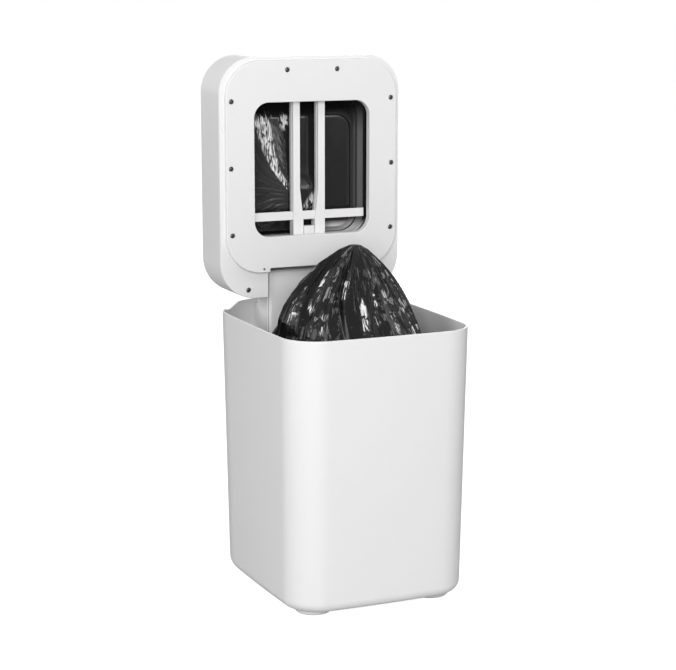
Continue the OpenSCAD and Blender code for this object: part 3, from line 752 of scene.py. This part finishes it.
# %% Column and brackets
# The column takes the white that is painted lighter, as painted light.
dress(ease(copied("hinge_column"), 0.5), "column_white", "bin", "hinge_column")
for side in ("left", "right"):
    dress(
        ease(copied("hinge_bracket_" + side), 0.4),
        "inner_plastic",
        "head",
        "hinge_bracket_" + side,
    )

# %% [markdown]
# ## The head's base plate
#
# The plate is one moulding: a flat rim, a raised field with rounded corners, and a
# collar round the window. Its section is the same all the way round, so a closed loft
# round the window makes it, and small radii are part of the section. The notch over
# the column and the screw holes are cut afterwards.


# %% Base plate
CORNER_STEPS = 18
RECESS_R = 3.2
CUT = 4  # how far a hole's cutter reaches to both sides of its face


def head_outline(inset):
    x, r = BIN_X - inset, HEAD_R - inset
    return rounded(-x, x, TAIL_Z + inset, END_Z - inset, r, CORNER_STEPS)


def plate_outline(inset):
    x, r = PLATE_X - inset, HEAD_R - inset
    return rounded(-x, x, PLATE_Z0 + inset, PLATE_Z1 - inset, r, CORNER_STEPS)


def window_outline(grow):
    x, r = WIN_X + grow, WIN_R + grow
    return rounded(-x, x, WIN_Z0 - grow, WIN_Z1 + grow, r, CORNER_STEPS)


def corner(outline, y, r, turn_y=1):
    """Rings round a small edge radius that starts on the outline and ends facing Y."""
    rings = []
    for t in np.radians((0, 30, 60, 90)):
        inward, off = quarter(r, t)
        rings.append(at_depth(outline(inward), y + turn_y * off))
    return rings


back_y = HEAD_RIM_Y + PLATE_T
plate_rings = [at_depth(head_outline(0), back_y)]
plate_rings += corner(head_outline, HEAD_RIM_Y, 0.6)
plate_rings += [
    at_depth(plate_outline(-0.8), HEAD_RIM_Y),
    at_depth(plate_outline(-0.25), HEAD_RIM_Y - 0.25),
    at_depth(plate_outline(0), HEAD_RIM_Y - 0.8),
]
plate_rings += corner(plate_outline, FACE_Y, 1.1)
plate_rings += corner(window_outline, FACE_Y, 0.8)[::-1]
plate_rings += corner(window_outline, COLLAR_Y, 0.5, -1)
plate_rings += [
    at_depth(window_outline(PLATE_T), COLLAR_Y),
    at_depth(window_outline(PLATE_T), FACE_Y + PLATE_T),
    at_depth(plate_outline(PLATE_T), FACE_Y + PLATE_T),
    at_depth(plate_outline(PLATE_T), back_y),
]
plate = loft("plate_moulding", plate_rings, loop=True)


def hole_cutters(name, places, y, r):
    part = lathe(name + "_bit", [(r, -CUT), (r, CUT)])
    places = [(x, y, z) for x, z in places]
    return set_parts(name, part, places, FACING_FRONT, "steel", 0)


notch = loft(
    "notch",
    [
        at_depth(rounded(-NOTCH_X, NOTCH_X, TAIL_Z - 30, NOTCH_Z, 1.5, 4), y)
        for y in (FACE_Y - 5, back_y + 5)
    ],
)
carve(
    plate,
    notch,
    hole_cutters("field_holes", PLATE_HOLES, FACE_Y, RECESS_R),
    hole_cutters("tail_holes", TAIL_HOLES, HEAD_RIM_Y, RECESS_R),
    hole_cutters("pin_hole", [PIN_HOLE], FACE_Y, PIN_HOLE_R),
)
ease(plate, 0.45, 2, 40)

# %% Turned recesses and hidden supports of the plate
CUP = [(1.7, -5.5), (5.2, -5.5), (5.2, -2.6), (3.2, -2.6), (3.2, -3.0), (1.7, -3.0)]
cup_places = [(x, FACE_Y, z) for x, z in PLATE_HOLES]
cup_places += [(x, HEAD_RIM_Y, z) for x, z in TAIL_HOLES]
cups = set_parts(
    "recess_cups",
    ease(loft("cup", turned(CUP), loop=True), 0),
    cup_places,
    FACING_FRONT,
    "plate_white",
)
supports = [
    box_piece("support", low, high)
    for low, high in (
        ((-101.1, 70.4, 600.5), (-82.5, 91, 611)),
        ((-90.5, 70.4, 406.8), (-82.5, 91, 429.9)),
        ((82.5, 70.4, 601), (88.5, 91, 611)),
        ((82.5, 70.4, 406.8), (88.5, 91, 416.8)),
        ((-7.5, 70.4, 622.5), (7.5, 80, 632.5)),
    )
]
turn_in = box_piece(
    "turn_in", (-NOTCH_X, FACE_Y + 1.5, NOTCH_Z), (NOTCH_X, back_y, NOTCH_Z + 2.2)
)
join(plate, cups, turn_in, *supports)
dress(plate, "plate_white", "head", "base_plate")

# %% [markdown]
# ## Screws
#
# Ten dark screws sit in the plate's recesses. Each is turned from one profile with a
# round drive, then set by the tree above.

# %% Screws
DRIVE = [(0.01, -2.0), (1.15, -2.0), (1.3, -0.9)]
SCREW_HEAD = [(2.3, -1.15), (2.8, -1.6), (2.9, -2.2), (2.9, -2.9)]
SHANK = [(1.5, -2.9), (1.5, -16), (0.3, -17)]
screw = ease(lathe("screw", DRIVE + SCREW_HEAD + SHANK, 28), 0, angle=50)
screws = set_parts("plate_screw_set", screw, cup_places, FACING_FRONT, "screw_dark")
dress(screws, "screw_dark", "head", "plate_screws")

# %% [markdown]
# ## The head's casing
#
# The casing is a deep tray with a generous radius round its top face. A loft runs from
# the inside of the top face, down the inner wall, over the edge and up the outside.


# %% Casing
def casing_rings():
    steps = np.radians(np.linspace(90, 0, 11))
    mid_y, low = 100, back_y + 0.3
    rings = []
    for t in steps:
        inward, down = quarter(TOP_R - WALL, t)
        rings.append(at_depth(head_outline(WALL + inward), INNER_Y - down))
    rings += [at_depth(head_outline(WALL), y) for y in (mid_y, low + 0.4)]
    rings += [at_depth(head_outline(i), low) for i in (WALL - 0.4, 0.4)]
    rings += [at_depth(head_outline(0), y) for y in (low + 0.4, mid_y)]
    for t in steps[::-1]:
        inward, down = quarter(TOP_R, t)
        rings.append(at_depth(head_outline(inward), TOP_Y - down))
    return rings


def top_cutter(name, x0, x1, z0, z1, r, n):
    """A rounded opening through the top face."""
    outline = rounded(x0, x1, z0, z1, r, n)
    return loft(name, [at_depth(outline, y) for y in (TOP_Y - 7, TOP_Y + 3)])


SHANK_R, POST_R, POST_TOP = 1.55, 3.2, -6


def screw_posts(name, places, end):
    """Posts inside the head that the plate's screws run into."""
    section = [(SHANK_R, POST_TOP), (POST_R, POST_TOP), (POST_R, end), (SHANK_R, end)]
    post = lathe(name + "_blank", section, 20)
    return set_parts(name, post, places, FACING_FRONT, "head_white", 0)


casing = loft("head_casing", casing_rings())
column_gap = box_piece("gap", (-NOTCH_X, 60, TAIL_Z - 5), (NOTCH_X, 141.3, NOTCH_Z))
socket_hole = box_piece("socket_hole", (66, 129.4, TAIL_Z - 3), (76, 137.4, TAIL_Z + 4))
carve(
    casing,
    column_gap,
    top_cutter("waste_hole", -75, 75, 426.2, 582.3, 1.5, 5),
    top_cutter("button_hole", 54.9, 65.1, 615.9, 626.1, 5.09, 10),
    top_cutter("lens_hole", -9, 9, 617, 625, 3.9, 8),
    socket_hole,
)
ease(casing, 0.45, 2, 40)
notch_wall = box_piece(
    "notch_wall", (-60.1, 77.9, NOTCH_Z), (60.1, 149.9, NOTCH_Z + WALL)
)
join(
    casing,
    notch_wall,
    screw_posts("posts", cup_places[:8], -81),
    screw_posts("short_posts", cup_places[8:], -66),
)
dress(casing, "head_white", "head", "head_shell")

# %% Waste lid, button and lens
dress(ease(copied("waste_lid"), 0.5), "head_white", "waste_lid", "waste_lid")
dress(ease(copied("seal_button"), 0.4, 3), "button_grey", "button", "seal_button")
dress(ease(copied("sensor_lens"), 0.25), "lens_black", "head", "sensor_lens")

# %% [markdown]
# ## The gathering bars
#
# Two side bars slide together and the cross bar slides down in their slots, so that the
# film is gathered to one point. They are crisp mouldings, so copies with a fine bevel
# are right.

# %% Bars
for node, bevel, finish, body in (
    ("side_bar_left", 0.22, "bar_white", "side_left"),
    ("side_bar_right", 0.22, "bar_white", "side_right"),
    ("cross_bar", 0.3, "bar_white", "cross"),
    ("sealing_block", 0.4, "block_white", "head"),
):
    dress(ease(copied(node), bevel, 2, 50), finish, body, node)

# %% [markdown]
# ## Film in the head
#
# The sleeve hangs from the refill ring and is drawn to the throat between the bars. It
# is a lofted funnel. Its left side is slack and creased, and its right side is taut.


# %% Film sleeve
def smooth(x, low, high):
    t = np.clip((x - low) / (high - low), 0, 1)
    return t * t * (3 - 2 * t)


def with_uv(obj, u, v, crease):
    """Stores a UV map called Film and a crease mask, both given per vertex."""
    mesh = obj.data
    layer = mesh.uv_layers.new(name="Film")
    index = np.empty(len(mesh.loops), int)
    mesh.loops.foreach_get("vertex_index", index)
    uv = np.stack([np.asarray(u).ravel()[index], np.asarray(v).ravel()[index]], 1)
    layer.data.foreach_set("uv", uv.astype(np.float32).ravel())
    mask = mesh.attributes.new("crease", "FLOAT", "POINT")
    mask.data.foreach_set("value", np.asarray(crease, np.float32).ravel())


FILM_X, FILM_Z0, FILM_Z1, FILM_R = 80.3, 418.6, 589.9, 23.5
RING_Y, FILM_FRONT_Y, THROAT_Z, FILM_SPAN = 118, 92.9, 455, 160
# The band of creases on the slack side, which also carries painted highlights: its
# path, and its half width along the path.
CRINKLE_Z = (469, 482, 501, 513.5, 526, 545, 563, 572, 590)
CRINKLE_X = (-15, -24, -37, -41, -46, -50, -54, -55, -58)
CRINKLE_WIDTH = ((469, 500, 545, 570), (2.5, 4.5, 9, 12))


def evenly(outline, count):
    """The closed outline again, with count points at equal steps along it."""
    points = np.array([*outline, outline[0]])
    run = np.concatenate([[0], np.cumsum(np.hypot(*np.diff(points, axis=0).T))])
    at = np.linspace(0, run[-1], count, endpoint=False)
    return np.stack([np.interp(at, run, axis) for axis in points.T], 1)


def film_funnel():
    around, along = 520, 90
    outer = evenly(rounded(-FILM_X, FILM_X, FILM_Z0, FILM_Z1, FILM_R, 30), around)
    s = np.linspace(0, 1, along)[:, None]
    theta = np.arctan2(outer[:, 1] - MID_Z, outer[:, 0])[None, :]
    throat_x = np.clip(outer[:, 0] * 0.12, -9.5, 9.5)[None, :]
    throat_z = THROAT_Z + np.clip((outer[:, 1] - 418) * 0.12, 0, 20)[None, :]
    pull = s**0.8
    x = outer[None, :, 0] * (1 - pull) + throat_x * pull
    z = outer[None, :, 1] * (1 - pull) + throat_z * pull
    left = smooth(-x, -5, 25)
    fall = left * smooth(s, 0.1, 1.0) + (1 - left) * smooth(s, 0.7, 1.0)
    y = RING_Y - 16 * smooth(s, 0.0, 0.15) - 8.2 * fall
    slack = 4 * s * (1 - s)
    path = np.interp(z, CRINKLE_Z, CRINKLE_X)
    band = np.exp(-(((x - path) / np.interp(z, *CRINKLE_WIDTH)) ** 2))
    band = band * smooth(z, 466, 478) * smooth(-z, -582, -570)
    fold = np.abs((theta * 5.5 + 0.6 * np.sin(3 * theta + 5 * s)) % 1 - 0.5) * 2
    fold2 = np.abs((theta * 13.7 + 0.9 * np.sin(5 * theta - 6 * s)) % 1 - 0.5) * 2
    y = y + slack * (left * (0.2 * fold + 0.1 * fold2) + (1 - left) * 0.03 * fold)
    y = np.maximum(y, FILM_FRONT_Y)
    points = np.stack([x, y, z], -1).reshape(-1, 3)
    faces = ring_quads(along, around)
    faces.append(tuple(range((along - 1) * around, along * around)))
    obj = mesh_object("film_funnel", points, faces)
    u, v = x / FILM_SPAN + 0.5, (z - WIN_Z0) / FILM_SPAN
    throat = np.exp(-(((x - 5) / 8) ** 2) - ((z - 461) / 12) ** 2)
    patch = np.exp(-(((x + 25) / 6) ** 2) - ((z - 561) / 11) ** 2) * 0.8
    # The crease mask also places the painted highlights of the pale lines.
    crease = 0.01 + 0.99 * np.clip(band + throat + patch, 0, 1) + 0.04 * left
    with_uv(obj, u, v, crease)
    obj.data.shade_smooth()
    return obj


dress(film_funnel(), "film_sleeve", "head", "film_sleeve")

# %% [markdown]
# ## The filled bag
#
# The bag is a loft too: a rounded block of litter below, drawn up to one sealed point.
# Gathering film makes sharp pleats that all run to that point, so the radius is cut
# back between pleats, and each pleat wanders and varies as folded film does.


# %% Filled bag
# The bag's outline by height: half width, reach to the front and to the back, how
# square its plan is, how deep its pleats are, and how far it leans along X.
BAG_Z = (
    (9.2, 20, 39, 150, 290, 319, 332, 348, 359)
    + (373.7, 384.7, 398, 406.5, 415, 420.3)
)
BAG_X = (88, 99, 103, 103, 94, 88, 85.5, 78.5, 72, 61.5, 52, 40.6, 30.2, 19.2, 8)
BAG_FRONT = (96, 106, 110, 110, 104, 93.5, 88, 79, 72, 61.5, 52, 40.6, 30.2, 19.2, 8)
BAG_BACK = (100, 110, 114, 114, 107, 95, 89, 79, 72, 61.5, 52, 40.6, 30.2, 19.2, 8)
BAG_SQUARE = (4.5, 5, 5, 5, 2.9, 2.1, 2, 2, 2, 2, 2, 2, 2, 2, 2)
BAG_DEPTH = (1, 2, 3, 3, 4.5, 7.5, 9, 10, 10, 9.5, 8.5, 6.8, 5, 3.2, 1.2)
BAG_LEAN = (0, 0, 0, 0, 3, 5.5, 4.4, 3.6, 3.7, 5.2, 7.7, 8.9, 10.7, 12.3, 14.2)
BAG_MID, BAG_FLOOR, BAG_PEAK, PLEATS = -26.6, 9.2, 420.3, 25
# Patches of sharp creases, which the film finish also marks with painted highlights:
# middle angle, half width in degrees, from and to height.
FLASHES = [
    (223, 4, 318, 352),
    (247, 3, 366, 392),
    (263, 3, 300, 362),
    (277, 2, 340, 400),
    (293, 4, 318, 398),
    (310, 4, 310, 385),
    (326, 5, 300, 370),
    (184, 5, 335, 372),
    (205, 4, 350, 392),
    (30, 12, 310, 380),
    (75, 9, 320, 395),
    (120, 12, 300, 370),
    (150, 6, 330, 390),
]


def bag_shell():
    rng = np.random.default_rng(11)
    around, along = 620, 150
    plain = 30
    levels = np.concatenate(
        [np.linspace(BAG_FLOOR, 280, plain), np.linspace(282, BAG_PEAK, along - plain)]
    )
    value = {
        key: np.interp(levels, BAG_Z, table)[:, None]
        for key, table in (
            ("x", BAG_X),
            ("front", BAG_FRONT),
            ("back", BAG_BACK),
            ("n", BAG_SQUARE),
            ("deep", BAG_DEPTH),
            ("lean", BAG_LEAN),
        )
    }
    theta = np.arange(around)[None, :] * math.tau / around
    c, s = np.cos(theta), np.sin(theta)
    half_y = np.where(s < 0, value["front"], value["back"])
    n = value["n"]
    reach = (np.abs(c / value["x"]) ** n + np.abs(s / half_y) ** n) ** (-1 / n)
    up = (levels[:, None] - 300) / 120
    wander = theta + 0.05 * np.sin(3 * theta + 2.6 * up)
    wander = wander + 0.035 * np.sin(7 * theta - 4 * up)
    wander = wander + 0.012 * np.sin(17 * theta + 9 * up)
    gaps = rng.uniform(0.4, 1.8, PLEATS)
    edges = np.concatenate([[0], np.cumsum(gaps)]) / gaps.sum() * math.tau
    turns = np.interp(wander % math.tau, edges, np.arange(PLEATS + 1))
    which, share = np.floor(turns).astype(int) % PLEATS, turns % 1

    def across(values):
        """One value per pleat, blended from each pleat to the next."""
        return values[which] * (1 - share) + values[(which + 1) % PLEATS] * share

    tent = np.abs(share * 2 - 1) ** 1.15
    ridge = rng.uniform(0.35, 1.0, PLEATS)
    skew = rng.uniform(0.5, 1.0, PLEATS)[which]
    depth = value["deep"] * skew * (1 - tent)
    fine = np.abs((turns * 3.3 + 0.8 * np.sin(5 * up + theta * 9)) % 1 - 0.5)
    reach = reach - depth - value["deep"] * 0.28 * (1 - across(ridge))
    reach = reach - value["deep"] * 0.18 * fine
    reach = np.maximum(reach, 2.5)
    above = smooth(levels, 200, 330)[:, None]
    below = smooth(-levels, -415, -390)[:, None]
    sway = 2.2 * np.sin(2 * theta + 4 * up) * above * below
    reach = reach + sway * 0.6 - 1.2
    x = reach * c + value["lean"]
    y = reach * s + BAG_MID
    z = np.broadcast_to(levels[:, None], x.shape)
    points = np.stack([x, y, z], -1).reshape(-1, 3)
    faces = [tuple(range(around))[::-1], *ring_quads(along, around)]
    faces.append(tuple(range((along - 1) * around, along * around)))
    obj = mesh_object("bag_film", points, faces)
    crumple = across(rng.uniform(0.0, 0.42, PLEATS))
    for spot, wide, low, high in FLASHES:
        off = (np.degrees(wander) - spot + 180) % 360 - 180
        lit = smooth(levels, low - 10, low + 4) * smooth(-levels, -high - 8, -high + 4)
        crumple = np.maximum(crumple, np.exp(-((off / wide) ** 2)) * lit[:, None])
    # This crease mask also places the film's painted highlights and painted sheen.
    crease = crumple * (0.35 + 0.65 * above)
    u, v = (np.broadcast_to(axis, x.shape) for axis in (theta / math.tau, up))
    with_uv(obj, u, v, crease)
    obj.data.shade_smooth()
    return obj


bag = dress(bag_shell(), "film_bag", "bin", "filled_bag")
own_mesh(bag)

# %% [markdown]
# ## Working parts that show as they are
#
# Rods, motors, the refill ring and the controls are hidden or small. Their meshes are
# right as they come, so they only get a finish.

# %% Finishes for the other working parts
PLAIN = {
    "column_screws": "steel",
    "hinge_pin_left": "steel",
    "hinge_pin_right": "steel",
    "hinge_damper_left": "black_plastic",
    "hinge_damper_right": "black_plastic",
    "clamp_pad": "pad_black",
    "guide_rod_upper": "steel",
    "guide_rod_lower": "steel",
    "cross_rod": "steel",
    "drive_screw": "steel",
    "cross_motor": "motor_can",
    "gather_motor": "motor_can",
    "gather_pinion": "inner_plastic",
    "heating_strip": "heater",
    "ring_seat": "seat_grey",
    "refill_ring": "ring_dark",
    "film_pack": "ring_dark",
    "lid_pin": "steel",
    "lid_motor": "motor_can",
    "button_switch": "black_plastic",
    "control_board": "board_green",
    "battery_pack": "cell_blue",
    "charge_socket": "black_plastic",
}
for node, finish in PLAIN.items():
    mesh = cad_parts[node].data
    mesh.materials.clear()
    mesh.materials.append(FINISH[finish])
print("plain parts:", len(PLAIN))

# %% [markdown]
# ## Floor, light and camera
#
# The pail stands in a white studio. The world and floor are white only to the camera
# and to reflections, so the shades on the pale plastic stay readable. A broad lamp
# before the pail and a weaker one at its left give its sides their different greys. A
# tall lamp and two strips make the film flash, and a soft one lights the back.


# %% Studio
WORLD_LIGHT, FLOOR_GLOW = 0.16, 0.92


def white_world():
    world = bpy.data.worlds.new("studio")
    bpy.context.scene.world = world
    world.use_nodes = True
    tree = world.node_tree
    back = tree.nodes["Background"]
    back.inputs["Color"].default_value = (1, 1, 1, 1)
    ray = tree.nodes.new("ShaderNodeLightPath").outputs
    seen = maths(tree, "MAXIMUM", ray["Is Camera Ray"], ray["Is Glossy Ray"])
    seen = maths(tree, "MAXIMUM", seen, ray["Is Transmission Ray"])
    tree.links.new(ramp(tree, seen, 0, 1, WORLD_LIGHT), back.inputs["Strength"])


def white_floor():
    half = 9000
    floor = mesh_object(
        "floor",
        [(-half, -half, 0), (half, -half, 0), (half, half, 0), (-half, half, 0)],
        [(0, 1, 2, 3)],
    )
    mat = bpy.data.materials.new("floor_white")
    mat.use_nodes = True
    tree = mat.node_tree
    skin = tree.nodes["Principled BSDF"]
    skin.inputs["Base Color"].default_value = (0.5, 0.5, 0.5, 1)
    skin.inputs["Roughness"].default_value = 0.9
    skin.inputs["Specular IOR Level"].default_value = 0.1
    skin.inputs["Emission Color"].default_value = (1, 1, 1, 1)
    ray = tree.nodes.new("ShaderNodeLightPath").outputs
    glow = maths(tree, "MULTIPLY", ray["Is Camera Ray"], FLOOR_GLOW)
    tree.links.new(glow, skin.inputs["Emission Strength"])
    floor.data.materials.append(mat)


def lamp(name, place, aim, size, power):
    data = bpy.data.lights.new(name, "AREA")
    data.shape, data.size, data.size_y = "RECTANGLE", size[0], size[1]
    data.energy = power
    obj = bpy.data.objects.new(name, data)
    obj.location = place
    look = Vector(aim) - Vector(place)
    obj.rotation_euler = look.to_track_quat("-Z", "Y").to_euler()
    bpy.context.collection.objects.link(obj)


white_world()
white_floor()
lamp("broad_front", (-1.22, -2.83, 1.22), (0, 0, 0.4), (2.0, 1.8), 72)
lamp("broad_left", (-2.63, -0.09, 1.36), (0, 0, 0.35), (1.2, 1.2), 24)
lamp("tall_right", (1.0, -2.6, 1.3), (0, 0, 0.4), (0.5, 1.2), 7)
lamp("back_fill", (1.5, 2.3, 1.5), (0, 0, 0.4), (1.4, 1.4), 18)
lamp("strip_right", (1.6, -0.6, 1.5), (0, 0, 0.4), (0.1, 1.2), 3)
lamp("strip_top", (0.2, -0.9, 2.2), (0, 0, 0.4), (1.2, 0.3), 8)

# %% Camera
CAMERA_PLACE = (-0.9157, -2.0749, 0.7388)
TILT, TURN, LENS, SENSOR = 79.21, -23.90, 100.53, 36

camera_data = bpy.data.cameras.new("camera")
camera_data.sensor_width = SENSOR
camera_data.lens = LENS
camera = bpy.data.objects.new("camera", camera_data)
camera.location = CAMERA_PLACE
camera.rotation_euler = (math.radians(TILT), 0, math.radians(TURN))
bpy.context.collection.objects.link(camera)
scene = bpy.context.scene
scene.camera = camera
scene.view_settings.view_transform = "Standard"
